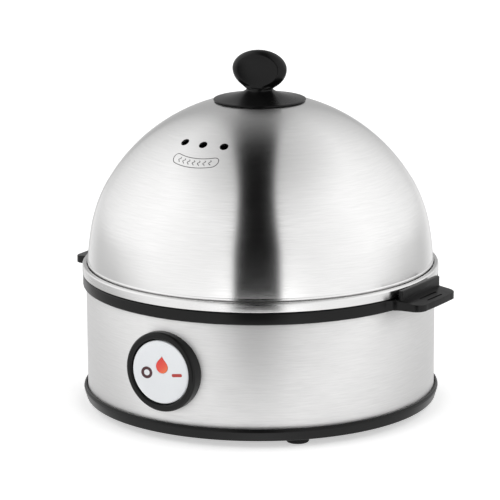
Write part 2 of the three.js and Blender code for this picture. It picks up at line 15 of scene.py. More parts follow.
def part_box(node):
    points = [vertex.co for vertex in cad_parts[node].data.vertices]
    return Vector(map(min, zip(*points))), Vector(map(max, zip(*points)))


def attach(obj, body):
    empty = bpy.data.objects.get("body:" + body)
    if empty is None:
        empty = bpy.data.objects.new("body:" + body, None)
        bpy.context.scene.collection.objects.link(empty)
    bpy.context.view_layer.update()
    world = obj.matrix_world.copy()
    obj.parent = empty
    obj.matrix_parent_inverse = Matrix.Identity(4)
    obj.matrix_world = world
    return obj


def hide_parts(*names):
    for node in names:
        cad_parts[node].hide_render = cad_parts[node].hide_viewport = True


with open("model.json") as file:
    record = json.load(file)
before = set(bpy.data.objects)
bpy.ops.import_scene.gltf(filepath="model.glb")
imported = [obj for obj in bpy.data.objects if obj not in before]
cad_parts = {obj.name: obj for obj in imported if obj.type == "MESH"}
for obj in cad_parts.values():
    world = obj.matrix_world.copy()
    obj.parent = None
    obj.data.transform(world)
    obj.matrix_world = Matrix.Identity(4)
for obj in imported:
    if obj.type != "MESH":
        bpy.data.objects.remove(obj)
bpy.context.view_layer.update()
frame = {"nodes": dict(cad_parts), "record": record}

MM = 0.001


def span(node):
    """Lowest and highest corner of a CAD node, in millimetres."""
    low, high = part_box(node)
    return low / MM, high / MM


# ---- Driving sizes, read from the frame -----------------------------------------------------------
SLEEVE_BOTTOM, SLEEVE_TOP = span("body_shell")[0].z, span("body_shell")[1].z
SLEEVE_R = span("body_shell")[1].x
LID_FOOT = span("lid_dome")[0].z
APEX = span("lid_dome")[1].z
BAND_R = span("heating_bowl")[1].x
BAND_TOP = span("heating_bowl")[1].z
EAR_TIP = span("housing_collar")[1].x
GUARD_TOP = span("housing_collar")[1].z
KNOB_TOP = span("lid_knob")[1].z
BASE_BOTTOM = span("base_pan")[0].z
RACK_BOTTOM, RACK_GRIP_TOP = span("egg_rack")[0].z, span("egg_rack")[1].z
RACK_R = span("egg_rack")[1].x
BEZEL_FRONT = -span("switch_bezel")[0].y
SWITCH_Z = (span("switch_bezel")[0].z + span("switch_bezel")[1].z) / 2
BEZEL_R = (span("switch_bezel")[1].z - span("switch_bezel")[0].z) / 2
GLAND_OUT = span("cord_gland")[1].y
GLAND_Z = (span("cord_gland")[0].z + span("cord_gland")[1].z) / 2
FOOT_TOP = span("rubber_foot_1")[1].z

# ---- Other sizes, the same as in the CAD source ---------------------------------------------------
GAP = 0.3  # clearance kept between pieces that touch
SHEET = 0.8
LID_SHEET = 1.0
CROWN_R = 85.93
CROWN_Z = APEX - CROWN_R
SHOULDER_R, SHOULDER_X, SHOULDER_Z = 67.9, 15.44, 75.22
WALL_SLANT = math.radians(9.58)
CROWN_END = math.radians(31.14)
WALL_LENGTH = 10
LID_WALL_R = 84.05
LID_BEAD_R, LID_BEAD_Z, LID_BEAD_HALF = 84.35, 70.7, 0.7
BAND_INNER_R = 84.7
VENT_RING_R, VENT_R, VENT_STEP = 50.2, 2.1, math.radians(12.5)
FLANGE_R, FLANGE_Z, FLANGE_EDGE, NECK_R, NECK_Z = 22.4, 149.15, 0.5, 6.2, 154.4
HEAD_HALF_WIDTH, HEAD_HALF_DEPTH, HEAD_ABOVE, HEAD_BELOW = 13.5, 7.3, 9.1, 10.5
HEAD_Z = KNOB_TOP - HEAD_ABOVE
DISH_HALF_WIDTH, DISH_HALF_DEPTH, DISH_HALF_HEIGHT, DISH_Y = 14.5, 3.4, 10.1, 7
KNOB_TURN = math.radians(15)
KNOB_SCREW_TIP = 158.5
COLLAR_BOTTOM, COLLAR_TOP, COLLAR_R = 59.4, 65, 86.6
EAR_BOTTOM, EAR_TOP, EAR_FALL = 60, 64.8, 0.12  # the ear's top falls towards its tip
EAR_GROOVES = ((93.2, 7.5), (96.8, 6.5))  # distance from the axis and half length
GUARD_FROM, GUARD_TO, GUARD_HALF = 87.2, 89.6, 18
BEZEL_BORE, BARREL_R = 15.8, 17.2
ROCKER_R, ROCKER_FACE, ROCKER_PIVOT, DISH = 15.2, 88.4, 84.5, 1.2
ROCKER_REST = math.radians(3)
POST_RING_R = 76
CORNER_ANGLES = [math.radians(a) for a in (45, 135, 225, 315)]
EGG_HOLE_R, EGG_RING_R, EGG_FLARE = 17.5, 50.5, 0.9
RACK_T, RACK_LIP = 2, 1.6
GRIP_FROM, GRIP_TO, GRIP_HALF = 70, 72.5, 8  # lifting tabs on the rack
BOWL_FLOOR, BOWL_FLOOR_R = 48, 57
BAND_HEIGHT = 4.4
RIB_INNER, RIB_OUTER, RIB_BOTTOM, COLLAR_SEAT = 81.3, 83.8, 53, 62.5
POST_R, POST_TOP, WEB_HALF, LUG_AT = 3.6, 55, 1.5, 74
PAN_FLOOR, PAN_TOP, PAN_WALL_R = 5.5, 9.4, 82.2
GROOVE_INNER, GROOVE_OUTER, GROOVE_FLOOR = 83.9, 85.3, 5.3  # takes the foot of the sleeve
BOSS_R, BOSS_TOP, FOOT_R = 6.6, 12, 5.5
CLAMP_X, CLAMP_Y = 8, 66
VENT_SLOT_HALF, VENT_SLOT_REACH, VENT_SLOT_ROUND = 1.5, 14, 1.45
BEZEL_BACK = 81
ROUND = 192  # segments round the large turned pieces


# ---- Mesh tools -----------------------------------------------------------------------------------
def add_mesh(name, verts, faces, sharp_deg=35):
    """A closed, smooth-shaded object from millimetre points."""
    mesh = bpy.data.meshes.new(name)
    bm = bmesh.new()
    made = [bm.verts.new(Vector(v) * MM) for v in verts]
    for face in faces:
        corners = [made[i] for i in dict.fromkeys(face)]
        if len(corners) > 2:
            bm.faces.new(corners)
    bmesh.ops.remove_doubles(bm, verts=bm.verts, dist=1e-7)
    bmesh.ops.dissolve_degenerate(bm, edges=bm.edges, dist=1e-8)
    bmesh.ops.recalc_face_normals(bm, faces=bm.faces)
    bm.to_mesh(mesh)
    bm.free()
    obj = bpy.data.objects.new(name, mesh)
    bpy.context.scene.collection.objects.link(obj)
    smooth(obj, sharp_deg)
    return obj


def smooth(obj, sharp_deg=35):
    mesh = obj.data
    mesh.shade_smooth()
    mesh.set_sharp_from_angle(angle=math.radians(sharp_deg))


def filleted(points, steps=5):
    """Closed outline with each corner (u, v, radius) replaced by a tangent arc."""
    result = []
    for i, (u, v, radius) in enumerate(points):
        here = Vector((u, v))
        before = Vector(points[i - 1][:2]) - here
        after = Vector(points[(i + 1) % len(points)][:2]) - here
        if radius <= 0:
            result.append(tuple(here))
            continue
        half_angle = before.angle(after) / 2
        reach = min(radius / math.tan(half_angle), 0.49 * before.length, 0.49 * after.length)
        start, end = here + before.normalized() * reach, here + after.normalized() * reach
        centre = here + (before.normalized() + after.normalized()).normalized() * (
            reach / math.cos(half_angle)
        )
        arm, last = start - centre, end - centre
        sweep = arm.angle_signed(last)
        for k in range(steps + 1):
            turned_arm = arm.copy()
            turned_arm.rotate(Matrix.Rotation(-sweep * k / steps, 2))
            result.append(tuple(centre + turned_arm))
    return result


def turned(name, outline, segments=ROUND, sharp_deg=35, start=0.0, sweep=2 * math.pi):
    """A closed outline of (radius, height) turned about Z, all the way round or over a sweep."""
    whole = abs(sweep - 2 * math.pi) < 1e-9
    columns = segments if whole else segments + 1
    count = len(outline)
    verts, faces = [], []
    for i in range(columns):
        angle = start + sweep * i / segments
        verts += [(max(r, 0) * math.cos(angle), max(r, 0) * math.sin(angle), z) for r, z in outline]
    for i in range(segments):
        here, there = i * count, ((i + 1) % columns) * count
        for j in range(count):
            k = (j + 1) % count
            faces.append((here + j, there + j, there + k, here + k))
    if not whole:
        faces += [tuple(range(count)), tuple(range((columns - 1) * count, columns * count))]
    return add_mesh(name, verts, faces, sharp_deg)


def extruded(name, outline, low, high, bevel=0.0, bevel_steps=3):
    """A closed (x, y) outline raised from low to high, its sharp edges rounded."""
    count = len(outline)
    verts = [(x, y, low) for x, y in outline] + [(x, y, high) for x, y in outline]
    faces = [tuple(range(count)), tuple(range(count, 2 * count))]
    faces += [(i, (i + 1) % count, count + (i + 1) % count, count + i) for i in range(count)]
    obj = add_mesh(name, verts, faces)
    if bevel:
        round_edges(obj, bevel, bevel_steps)
    return obj


def block(name, low, high, bevel=0.3):
    outline = [(low[0], low[1]), (high[0], low[1]), (high[0], high[1]), (low[0], high[1])]
    return extruded(name, outline, low[2], high[2], bevel)


def bake_modifiers(obj):
    graph = bpy.context.evaluated_depsgraph_get()
    mesh = bpy.data.meshes.new_from_object(obj.evaluated_get(graph))
    old = obj.data
    obj.modifiers.clear()
    obj.data = mesh
    bpy.data.meshes.remove(old)


def round_edges(obj, width, steps=3, over_deg=40):
    bevel = obj.modifiers.new("round", "BEVEL")
    bevel.width = width * MM
    bevel.segments = steps
    bevel.limit_method = "ANGLE"
    bevel.angle_limit = math.radians(over_deg)
    bevel.harden_normals = False
    bake_modifiers(obj)
    smooth(obj)


def combine(obj, others, operation="DIFFERENCE", sharp_deg=35):
    """Cuts the others out of obj, or joins them to it, and removes them."""
    for other in others:
        step = obj.modifiers.new("combine", "BOOLEAN")
        step.operation = operation
        step.solver = "EXACT"
        step.object = other
    bpy.context.view_layer.update()
    bake_modifiers(obj)
    for other in others:
        bpy.data.objects.remove(other)
    smooth(obj, sharp_deg)
    return obj


def move(obj, matrix):
    """Moves the mesh itself, so that the object's origin stays at the frame's."""
    obj.data.transform(matrix)
    if matrix.determinant() < 0:
        obj.data.flip_normals()
    return obj


def shift(x, y, z):
    return Matrix.Translation(Vector((x, y, z)) * MM)


def spin(angle, axis="Z"):
    return Matrix.Rotation(angle, 4, axis)


def to_front(height=None):
    """Lays a piece turned about Z down, with its +Z pointing out of the front at the switch."""
    return shift(0, 0, SWITCH_Z if height is None else height) @ spin(math.pi / 2, "X")


def rod(name, radius, low, high, segments=48, edge=0.0):
    section = [(0, low, 0), (radius, low, edge), (radius, high, edge), (0, high, 0)]
    return turned(name, filleted(section, 3), segments)


def on_ring(radius, angle):
    return radius * math.cos(angle), radius * math.sin(angle), 0


# ---- Node materials -------------------------------------------------------------------------------
class Shader:
    """A material with a Principled shader and short helpers for its pattern nodes."""

    def __init__(self, name, **settings):
        self.material = bpy.data.materials.new(name)
        self.material.use_nodes = True
        self.tree = self.material.node_tree
        self.bsdf = self.tree.nodes["Principled BSDF"]
        for socket, value in settings.items():
            self.bsdf.inputs[socket.replace("_", " ")].default_value = value
        self.position = self.node("ShaderNodeTexCoord").outputs["Object"]

    def node(self, kind, **settings):
        made = self.tree.nodes.new(kind)
        for key, value in settings.items():
            setattr(made, key, value)
        return made

    def link(self, source, target):
        self.tree.links.new(source, target)

    def feed(self, socket, value):
        if isinstance(value, bpy.types.NodeSocket):
            self.link(value, socket)
        else:
            socket.default_value = value

    def math(self, operation, *values):
        made = self.node("ShaderNodeMath", operation=operation)
        for socket, value in zip(made.inputs, values):
            self.feed(socket, value)
        return made.outputs[0]

    def stretched(self, scale, vector=None):
        made = self.node("ShaderNodeMapping")
        self.link(vector or self.position, made.inputs["Vector"])
        made.inputs["Scale"].default_value = scale
        return made.outputs[0]

    def noise(self, vector, scale=1.0, detail=2.0, roughness=0.5):
        made = self.node("ShaderNodeTexNoise")
        self.link(vector, made.inputs["Vector"])
        made.inputs["Scale"].default_value = scale
        made.inputs["Detail"].default_value = detail
        made.inputs["Roughness"].default_value = roughness
        return made.outputs["Fac"]

    def ranged(self, value, low, high, from_low=0.3, from_high=0.7):
        made = self.node("ShaderNodeMapRange")
        self.link(value, made.inputs["Value"])
        made.inputs["From Min"].default_value = from_low
        made.inputs["From Max"].default_value = from_high
        made.inputs["To Min"].default_value = low
        made.inputs["To Max"].default_value = high
        return made.outputs["Result"]

    def ramp(self, value, *stops):
        made = self.node("ShaderNodeValToRGB")
        self.link(value, made.inputs["Fac"])
        elements = made.color_ramp.elements
        while len(elements) < len(stops):
            elements.new(0.5)
        for element, (place, colour) in zip(elements, stops):
            element.position = place
            element.color = (*colour, 1)
        return made.outputs["Color"]

    def bump(self, height, distance, strength=1.0):
        made = self.node("ShaderNodeBump")
        self.link(height, made.inputs["Height"])
        made.inputs["Distance"].default_value = distance * MM
        made.inputs["Strength"].default_value = strength
        self.link(made.outputs["Normal"], self.bsdf.inputs["Normal"])

    def arc_position(self, centre_z):
        """Position with its height replaced by the length along a dome's section."""
        split = self.node("ShaderNodeSeparateXYZ")
        self.link(self.position, split.inputs[0])
        x, y, z = split.outputs
        radius = self.math("SQRT", self.math("ADD", self.math("MULTIPLY", x, x), self.math("MULTIPLY", y, y)))
        polar = self.math("ARCTAN2", radius, self.math("SUBTRACT", z, centre_z * MM))
        joined = self.node("ShaderNodeCombineXYZ")
        self.link(x, joined.inputs[0])
        self.link(y, joined.inputs[1])
        self.link(self.math("MULTIPLY", polar, CROWN_R * MM), joined.inputs[2])
        return joined.outputs[0]


def grey(value, warm=0.0):
    return (value * (1 + warm), value, value * (1 - warm))


def brushed_metal(name, level, roughness, anisotropy, centre_z=None, depth=0.002):
    """Sheet steel with brush lines running round the axis."""
    shader = Shader(name, Metallic=1.0, Anisotropic=anisotropy, Anisotropic_Rotation=0.25)
    place = shader.arc_position(centre_z) if centre_z is not None else shader.position
    coarse = shader.noise(shader.stretched((60, 60, 1500), place), detail=3, roughness=0.6)
    fine = shader.noise(shader.stretched((160, 160, 6000), place), detail=2, roughness=0.6)
    patches = shader.noise(place, scale=28, detail=3)
    lines = shader.math("ADD", shader.math("MULTIPLY", coarse, 0.45), shader.math("MULTIPLY", fine, 0.55))
    shader.link(
        shader.ramp(lines, (0.30, grey(level * 0.95, 0.004)), (0.70, grey(min(level * 1.03, 1), 0.004))),
        shader.bsdf.inputs["Base Color"],
    )
    streaks = shader.ranged(lines, roughness * 1.18, roughness * 0.84)
    smudges = shader.ranged(patches, 0.94, 1.08)
    shader.link(shader.math("MULTIPLY", streaks, smudges), shader.bsdf.inputs["Roughness"])
    shader.bump(lines, depth, 0.5)
    tangent = shader.node("ShaderNodeTangent", direction_type="RADIAL", axis="Z")
    shader.link(tangent.outputs[0], shader.bsdf.inputs["Tangent"])
    return shader.material


def moulded(name, colour, roughness, grain=0.35, depth=0.012, level=0.5, coat=0.0, mottle=0.12):
    """Moulded plastic or rubber: fine spark-eroded grain, slow colour and gloss variation."""
    shader = Shader(name, Specular_IOR_Level=level, Coat_Weight=coat, Coat_Roughness=0.12)
    grains = shader.noise(shader.position, scale=1000 / grain, detail=2)
    slow = shader.noise(shader.position, scale=35, detail=3)
    low = tuple(c * (1 - mottle) for c in colour)
    high = tuple(min(c * (1 + mottle), 1) for c in colour)
    blend = shader.math("ADD", shader.math("MULTIPLY", grains, 0.4), shader.math("MULTIPLY", slow, 0.6))
    shader.link(shader.ramp(blend, (0.35, low), (0.65, high)), shader.bsdf.inputs["Base Color"])
    shader.link(shader.ranged(slow, roughness * 0.88, roughness * 1.12), shader.bsdf.inputs["Roughness"])
    shader.bump(grains, depth, 0.6)
    return shader.material


def cast_metal(name, colour, roughness, scale=900, depth=0.01):
    """Plated, cast or pressed metal with a faint uneven surface."""
    shader = Shader(name, Metallic=1.0)
    spots = shader.noise(shader.position, scale=scale, detail=4)
    slow = shader.noise(shader.position, scale=60, detail=2)
    low = tuple(c * 0.88 for c in colour)
    shader.link(shader.ramp(slow, (0.3, low), (0.7, colour)), shader.bsdf.inputs["Base Color"])
    shader.link(shader.ranged(spots, roughness * 0.8, roughness * 1.2), shader.bsdf.inputs["Roughness"])
    shader.bump(spots, depth, 0.5)
    return shader.material


def lens_painted_glow_material():
    """Red window whose colour runs to orange at its lower right: a painted glow of the lamp lit behind it."""
    shader = Shader("window_red_painted_glow", Roughness=0.16, Coat_Weight=0.4, Coat_Roughness=0.06, Subsurface_Weight=0.1)
    split = shader.node("ShaderNodeSeparateXYZ")
    shader.link(shader.position, split.inputs[0])
    # across and down place the painted glow of the indicator lamp, orange towards the lower right of the
    # window
    across = shader.ranged(split.outputs[0], 0, 0.5, -3 * MM, 4 * MM)
    down = shader.ranged(split.outputs[2], 0.5, 0, (SWITCH_Z - 2) * MM, (SWITCH_Z + 6) * MM)
    cloudy = shader.math("MULTIPLY", shader.noise(shader.position, scale=420, detail=2), 0.12)
    place = shader.math("ADD", shader.math("ADD", across, down), cloudy)
    red, scarlet, orange = (0.80, 0.03, 0.02), (0.88, 0.075, 0.03), (0.95, 0.24, 0.05)
    colour = shader.ramp(place, (0.25, red), (0.60, scarlet), (0.95, orange))
    shader.link(colour, shader.bsdf.inputs["Base Color"])
    shader.bump(shader.noise(shader.position, scale=1500), 0.004, 0.4)
    return shader.material


def printed(name, colour):
    """Pad-printed ink with a slightly uneven film."""
    shader = Shader(name, Specular_IOR_Level=0.4)
    film = shader.noise(shader.position, scale=2600, detail=3)
    low = tuple(c * 0.85 for c in colour)
    high = tuple(min(c * 1.12, 1) for c in colour)
    shader.link(shader.ramp(film, (0.35, low), (0.65, high)), shader.bsdf.inputs["Base Color"])
    shader.link(shader.ranged(film, 0.38, 0.52), shader.bsdf.inputs["Roughness"])
    shader.bump(film, 0.003, 0.4)
    return shader.material


def make_finishes():
    return {
        "brushed_steel": brushed_metal("sleeve_steel", 0.86, 0.54, 0.45, depth=0.004),
        "lid_steel": brushed_metal("lid_steel", 0.82, 0.22, 0.85, centre_z=CROWN_Z, depth=0.0016),
        "bowl_steel": brushed_metal("bowl_steel", 0.78, 0.24, 0.5),
        "black_plastic": moulded("black_satin_plastic", grey(0.004), 0.30, level=0.24),
        "knob_plastic": moulded("knob_black_plastic", grey(0.003), 0.28, level=0.22),
        "dark_plastic": moulded("dark_matt_plastic", grey(0.022), 0.55, grain=0.5, level=0.35),
        "white_plastic": moulded(
            "rocker_white_plastic", (0.80, 0.82, 0.84), 0.3, depth=0.004, coat=0.3, mottle=0.02
        ),
        "red_lens": lens_painted_glow_material(),
        "foot_rubber": moulded("foot_rubber", grey(0.012), 0.75, grain=0.6, depth=0.03, level=0.25),
        "silicone": moulded("grey_silicone", grey(0.46), 0.62, grain=0.6, level=0.35, mottle=0.06),
        "zinc_steel": cast_metal("zinc_plate", (0.62, 0.63, 0.65), 0.28),
        "heater_aluminium": cast_metal("cast_aluminium", (0.66, 0.67, 0.68), 0.42, scale=600, depth=0.03),
        "ceramic": moulded("glazed_ceramic", (0.80, 0.76, 0.68), 0.3, grain=0.8, coat=0.4, mottle=0.05),
        "lead_red": moulded("red_insulation", (0.35, 0.05, 0.03), 0.45, grain=0.5),
        "lead_blue": moulded("blue_insulation", (0.03, 0.08, 0.28), 0.45, grain=0.5),
        "lead_green": moulded("green_insulation", (0.12, 0.28, 0.05), 0.45, grain=0.5),
        "grey_ink": printed("grey_print", grey(0.07)),
        "brown_ink": printed("brown_print", (0.075, 0.025, 0.03)),
        "red_ink": printed("red_print", (0.48, 0.05, 0.04)),
    }


FINISH = make_finishes()


def piece(obj, body, slot, *nodes, finish=None):
    """Gives a finished piece its material and its body, and hides the CAD nodes that it stands for."""
    obj.data.materials.clear()
    obj.data.materials.append(FINISH[finish or slot])
    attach(obj, body)
    if nodes:
        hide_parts(*nodes)
    return obj


# ---- Curves ---------------------------------------------------------------------------------------
def arc(x, z, radius, start, end, steps):
    angles = [start + (end - start) * i / steps for i in range(steps + 1)]
    return [(x + radius * math.cos(a), z + radius * math.sin(a)) for a in angles]


def quadratic(a, b, c, steps):
    """Points of a quadratic curve from a towards c, without c itself."""
    a, b, c = Vector(a), Vector(b), Vector(c)
    shares = [i / steps for i in range(steps)]
    return [tuple((1 - t) ** 2 * a + 2 * t * (1 - t) * b + t * t * c) for t in shares]


def circle(u, v, radius, steps=40):
    return arc(u, v, radius, 0, 2 * math.pi, steps)[:-1]


# ---- Lid ------------------------------------------------------------------------------------------
def dome_line(depth):
    """Section of the dome, moved inwards by depth, from the apex down to the beaded foot."""
    crown = arc(0, CROWN_Z, CROWN_R - depth, math.pi / 2, CROWN_END, 40)
    shoulder = arc(SHOULDER_X, SHOULDER_Z, SHOULDER_R - depth, CROWN_END, WALL_SLANT, 14)
    x, z = shoulder[-1]
    hip = (x + WALL_LENGTH * math.sin(WALL_SLANT), z - WALL_LENGTH * math.cos(WALL_SLANT))
    wall_foot = (LID_WALL_R - depth, LID_BEAD_Z + LID_BEAD_HALF)
    wall = quadratic((x, z), hip, wall_foot, 10)[1:]
    swell = LID_BEAD_R - LID_WALL_R
    bead = [
        (LID_WALL_R - depth + swell * math.sin(a), LID_BEAD_Z + LID_BEAD_HALF * math.cos(a))
        for a in (math.pi * i / 8 for i in range(9))
    ]
    foot = [(LID_WALL_R - depth, LID_FOOT + 0.2), (LID_WALL_R - depth - 0.1, LID_FOOT)]
    return crown + shoulder[1:] + wall + bead + foot


def make_dome():
    outside, inside = dome_line(0), dome_line(LID_SHEET)
    dome = turned("dome_sheet", outside + inside[::-1], 256)
    tilt = math.asin(VENT_RING_R / CROWN_R)
    drills = []
    for turn in (-VENT_STEP, 0, VENT_STEP):
        drill = rod("steam_drill", VENT_R, CROWN_R - 6, CROWN_R + 6, 40)
        drills.append(move(drill, shift(0, 0, CROWN_Z) @ spin(turn) @ spin(tilt, "X")))
    drills.append(rod("knob_drill", 2.3, APEX - 8, APEX + 8))
    combine(dome, drills, sharp_deg=40)
    piece(dome, "lid", "brushed_steel", "lid_dome", finish="lid_steel")


def on_dome(turn, polar, lift=0.03):
    """Point on the crown at an angle from the front and an angle from the apex."""
    radius = CROWN_R + lift
    out = radius * math.sin(polar)
    return out * math.sin(turn), -out * math.cos(turn), CROWN_Z + radius * math.cos(polar)


def dome_ribbon(name, centre_line, half_width, closed=False):
    """Thin printed line on the crown, along points of (turn, polar)."""
    count = len(centre_line)
    verts, faces = [], []
    for i, (turn, polar) in enumerate(centre_line):
        before = centre_line[i - 1] if closed or i else centre_line[i]
        after = centre_line[(i + 1) % count] if closed or i < count - 1 else centre_line[i]
        along = Vector(((after[0] - before[0]) * math.sin(polar), after[1] - before[1])).normalized()
        side = Vector((-along.y, along.x)) * half_width / CROWN_R
        for sign in (-1, 1):
            edge_turn = turn + sign * side.x / math.sin(polar)
            for lift in (-0.05, 0.03):
                verts.append(on_dome(edge_turn, polar + sign * side.y, lift))
    for i in range(count if closed else count - 1):
        here, there = 4 * i, 4 * ((i + 1) % count)
        for a, b in ((1, 3), (3, 2), (2, 0), (0, 1)):
            faces.append((here + a, here + b, there + b, there + a))
    if not closed:
        last = 4 * (count - 1)
        faces += [(0, 1, 3, 2), (last, last + 1, last + 3, last + 2)]
    return add_mesh(name, verts, faces)


def make_steam_sign():
    """Plain capsule outline under the steam holes with a row of generic wavy steam marks."""
    top, bottom = math.asin(56.85 / CROWN_R), math.asin(60.75 / CROWN_R)
    middle, half = (top + bottom) / 2, (bottom - top) / 2
    reach = math.radians(9.75)
    whole_reach = math.radians(12.35)
    lift = math.radians(1.35)  # the ends of the capsule sit this much higher on the dome
    mark_step = math.radians(2.75)

    def bent(points):
        return [(turn, polar - lift * (turn / whole_reach) ** 2) for turn, polar in points]

    outline = [(reach * (1 - 2 * i / 24), top) for i in range(25)]
    for side in (-1, 1):
        bow = [math.pi / 2 + math.pi * i / 12 for i in range(1, 12)]
        ends = [(-reach + half / math.sin(middle) * math.cos(a), middle - half * math.sin(a)) for a in bow]
        if side < 0:
            outline += ends
            outline += [(-reach * (1 - 2 * i / 24), bottom) for i in range(25)]
        else:
            outline += [(-turn, 2 * middle - polar) for turn, polar in ends]
    pieces = [dome_ribbon("steam_sign_outline", bent(outline), 0.17, closed=True)]
    for i in range(7):
        turn = mark_step * (i - 3)
        sway = [math.radians(0.5) * math.sin(math.pi * k / 6) for k in range(17)]
        wave = [(turn + sway[k], middle + half * 0.52 * (k / 8 - 1)) for k in range(17)]
        pieces.append(dome_ribbon(f"steam_mark_{i + 1}", bent(wave), 0.17))
    for mark in pieces:
        piece(mark, "lid", "brushed_steel", finish="grey_ink")


def smooth_max(a, b, width):
    return 0.5 * (a + b + math.sqrt((a - b) ** 2 + width * width))


def smooth_step(low, high, value):
    share = min(max((value - low) / (high - low), 0), 1)
    return share * share * (3 - 2 * share)


def knob_levels():
    """(height, half width, half depth) of the knob's sections, from the flange's rim up."""
    rim = [
        (FLANGE_R - 0.25, FLANGE_Z + 0.03), (FLANGE_R - 0.05, FLANGE_Z + 0.12),
        (FLANGE_R, FLANGE_Z + FLANGE_EDGE / 2), (FLANGE_R - 0.08, FLANGE_Z + 0.4),
    ]
    flare = quadratic((FLANGE_R - 0.3, FLANGE_Z + FLANGE_EDGE), (8.6, APEX - 0.1), (NECK_R, NECK_Z), 28)
    levels = [(z, radius, radius) for radius, z in rim + flare]
    steps = 64
    for i in range(1, steps):
        up = -math.cos(math.pi * i / steps)
        z = HEAD_Z + up * (HEAD_ABOVE if up > 0 else HEAD_BELOW)
        if z < NECK_Z + 0.1:
            continue
        girth = math.sqrt(1 - up * up)
        stem = NECK_R * (1 - smooth_step(NECK_Z + 0.6, NECK_Z + 4, z))
        width, depth = girth * HEAD_HALF_WIDTH, girth * HEAD_HALF_DEPTH
        blend = 1 - smooth_step(NECK_Z + 1, NECK_Z + 8, z)
        levels.append((z, smooth_max(width, stem, blend), smooth_max(depth, stem, blend)))
    return levels


def thumb_dish(x, y, z):
    """Depth to which the flat faces of the head are hollowed at this point."""
    share = (x / DISH_HALF_WIDTH) ** 2 + ((z - HEAD_Z) / DISH_HALF_HEIGHT) ** 2
    if share >= 1 or abs(y) < 2:
        return y
    floor = DISH_Y - DISH_HALF_DEPTH * math.sqrt(1 - share)
    depth = -smooth_max(-abs(y), -floor, 0.22)
    return math.copysign(depth, y)


def make_knob():
    columns = 192
    seat_r = CROWN_R + 0.3
    seat = [(CROWN_Z + math.sqrt(seat_r ** 2 - r * r), r, r) for r in (3, 8, 13, 18, FLANGE_R - 0.6)]
    rows = seat + knob_levels()
    verts, faces = [], []
    for z, wide, deep in rows:
        for i in range(columns):
            angle = 2 * math.pi * i / columns
            x, y = wide * math.cos(angle), deep * math.sin(angle)
            verts.append((x, thumb_dish(x, y, z) if z > NECK_Z + 0.8 else y, z))
    for j in range(len(rows) - 1):
        for i in range(columns):
            k = (i + 1) % columns
            faces.append((j * columns + i, j * columns + k, (j + 1) * columns + k, (j + 1) * columns + i))
    faces.append(tuple(range(columns)))
    verts.append((0, 0, KNOB_TOP))
    top = (len(rows) - 1) * columns
    faces += [(top + i, top + (i + 1) % columns, len(verts) - 1) for i in range(columns)]
    knob = add_mesh("knob_body", verts, faces, sharp_deg=60)
    move(knob, spin(KNOB_TURN))
    piece(knob, "lid", "black_plastic", "lid_knob", finish="knob_plastic")


def washer_ring(name, inner, outer, low, high, edge):
    section = [(inner, low, edge), (outer, low, edge), (outer, high, edge), (inner, high, edge)]
    return turned(name, filleted(section), 96)


def make_knob_fixings():
    under = APEX - LID_SHEET
    bore = 2.3
    gasket = washer_ring("knob_seal", bore, 8, under - 1.9, under - 0.7, 0.4)
    piece(gasket, "lid", "silicone", "knob_gasket")
    washer = washer_ring("knob_lock_washer", bore, 7, under - 3.2, under - 2.2, 0.2)
    piece(washer, "lid", "zinc_steel", "knob_washer")
    screw = turned(
        "knob_fixing_screw",
        filleted([
            (0, under - 6, 0), (3, under - 6, 1.2), (3.8, under - 5, 0.4), (3.8, under - 3.5, 0.1),
            (2, under - 3.5, 0), (2, KNOB_SCREW_TIP, 0.4), (0, KNOB_SCREW_TIP, 0),
        ]),
        64,
    )
    arms = [block("recess", (-2.2, -0.4, under - 7), (2.2, 0.4, under - 4.6), 0),
            block("recess", (-0.4, -2.2, under - 7), (0.4, 2.2, under - 4.6), 0)]
    combine(screw, arms)
    piece(screw, "lid", "zinc_steel", "knob_screw")


# ---- Egg rack -------------------------------------------------------------------------------------
def make_rack():
    top = RACK_BOTTOM + RACK_T
    plate = turned(
        "rack_plate",
        filleted([
            (0, RACK_BOTTOM, 0), (RACK_R, RACK_BOTTOM, 0.4), (RACK_R, top + RACK_LIP, 0.5),
            (RACK_R - RACK_LIP, top + RACK_LIP, 0.5), (RACK_R - RACK_LIP, top, 0.5), (0, top, 0),
        ]),
        160,
    )
    root = top - 1.5  # the tabs start inside the plate
    outline = [
        (-GRIP_HALF, root, 0), (GRIP_HALF, root, 0),
        (GRIP_HALF, RACK_GRIP_TOP, 3), (-GRIP_HALF, RACK_GRIP_TOP, 3),
    ]
    grips = []
    for side in (1, -1):
        grip = extruded("rack_grip", filleted(outline, 8), GRIP_FROM, GRIP_TO, 0.5)
        grips.append(move(grip, spin(0 if side > 0 else math.pi) @ spin(math.pi) @ spin(math.pi / 2, "X")))
    combine(plate, grips, "UNION")
    centres = [(0, 0, 0)] + [on_ring(EGG_RING_R, math.radians(60) * i) for i in range(6)]
    holes = []
    for x, y, _ in centres:
        flare = turned(
            "egg_hole",
            [(0, top - 5), (EGG_HOLE_R, top - 5), (EGG_HOLE_R, top - 0.9), (EGG_HOLE_R + 0.3, top - 0.3),
             (EGG_HOLE_R + EGG_FLARE, top + 0.02), (EGG_HOLE_R + EGG_FLARE, top + 5), (0, top + 5)],
            96,
        )
        holes.append(move(flare, shift(x, y, 0)))
    combine(plate, holes)
    piece(plate, "rack", "dark_plastic", "egg_rack")


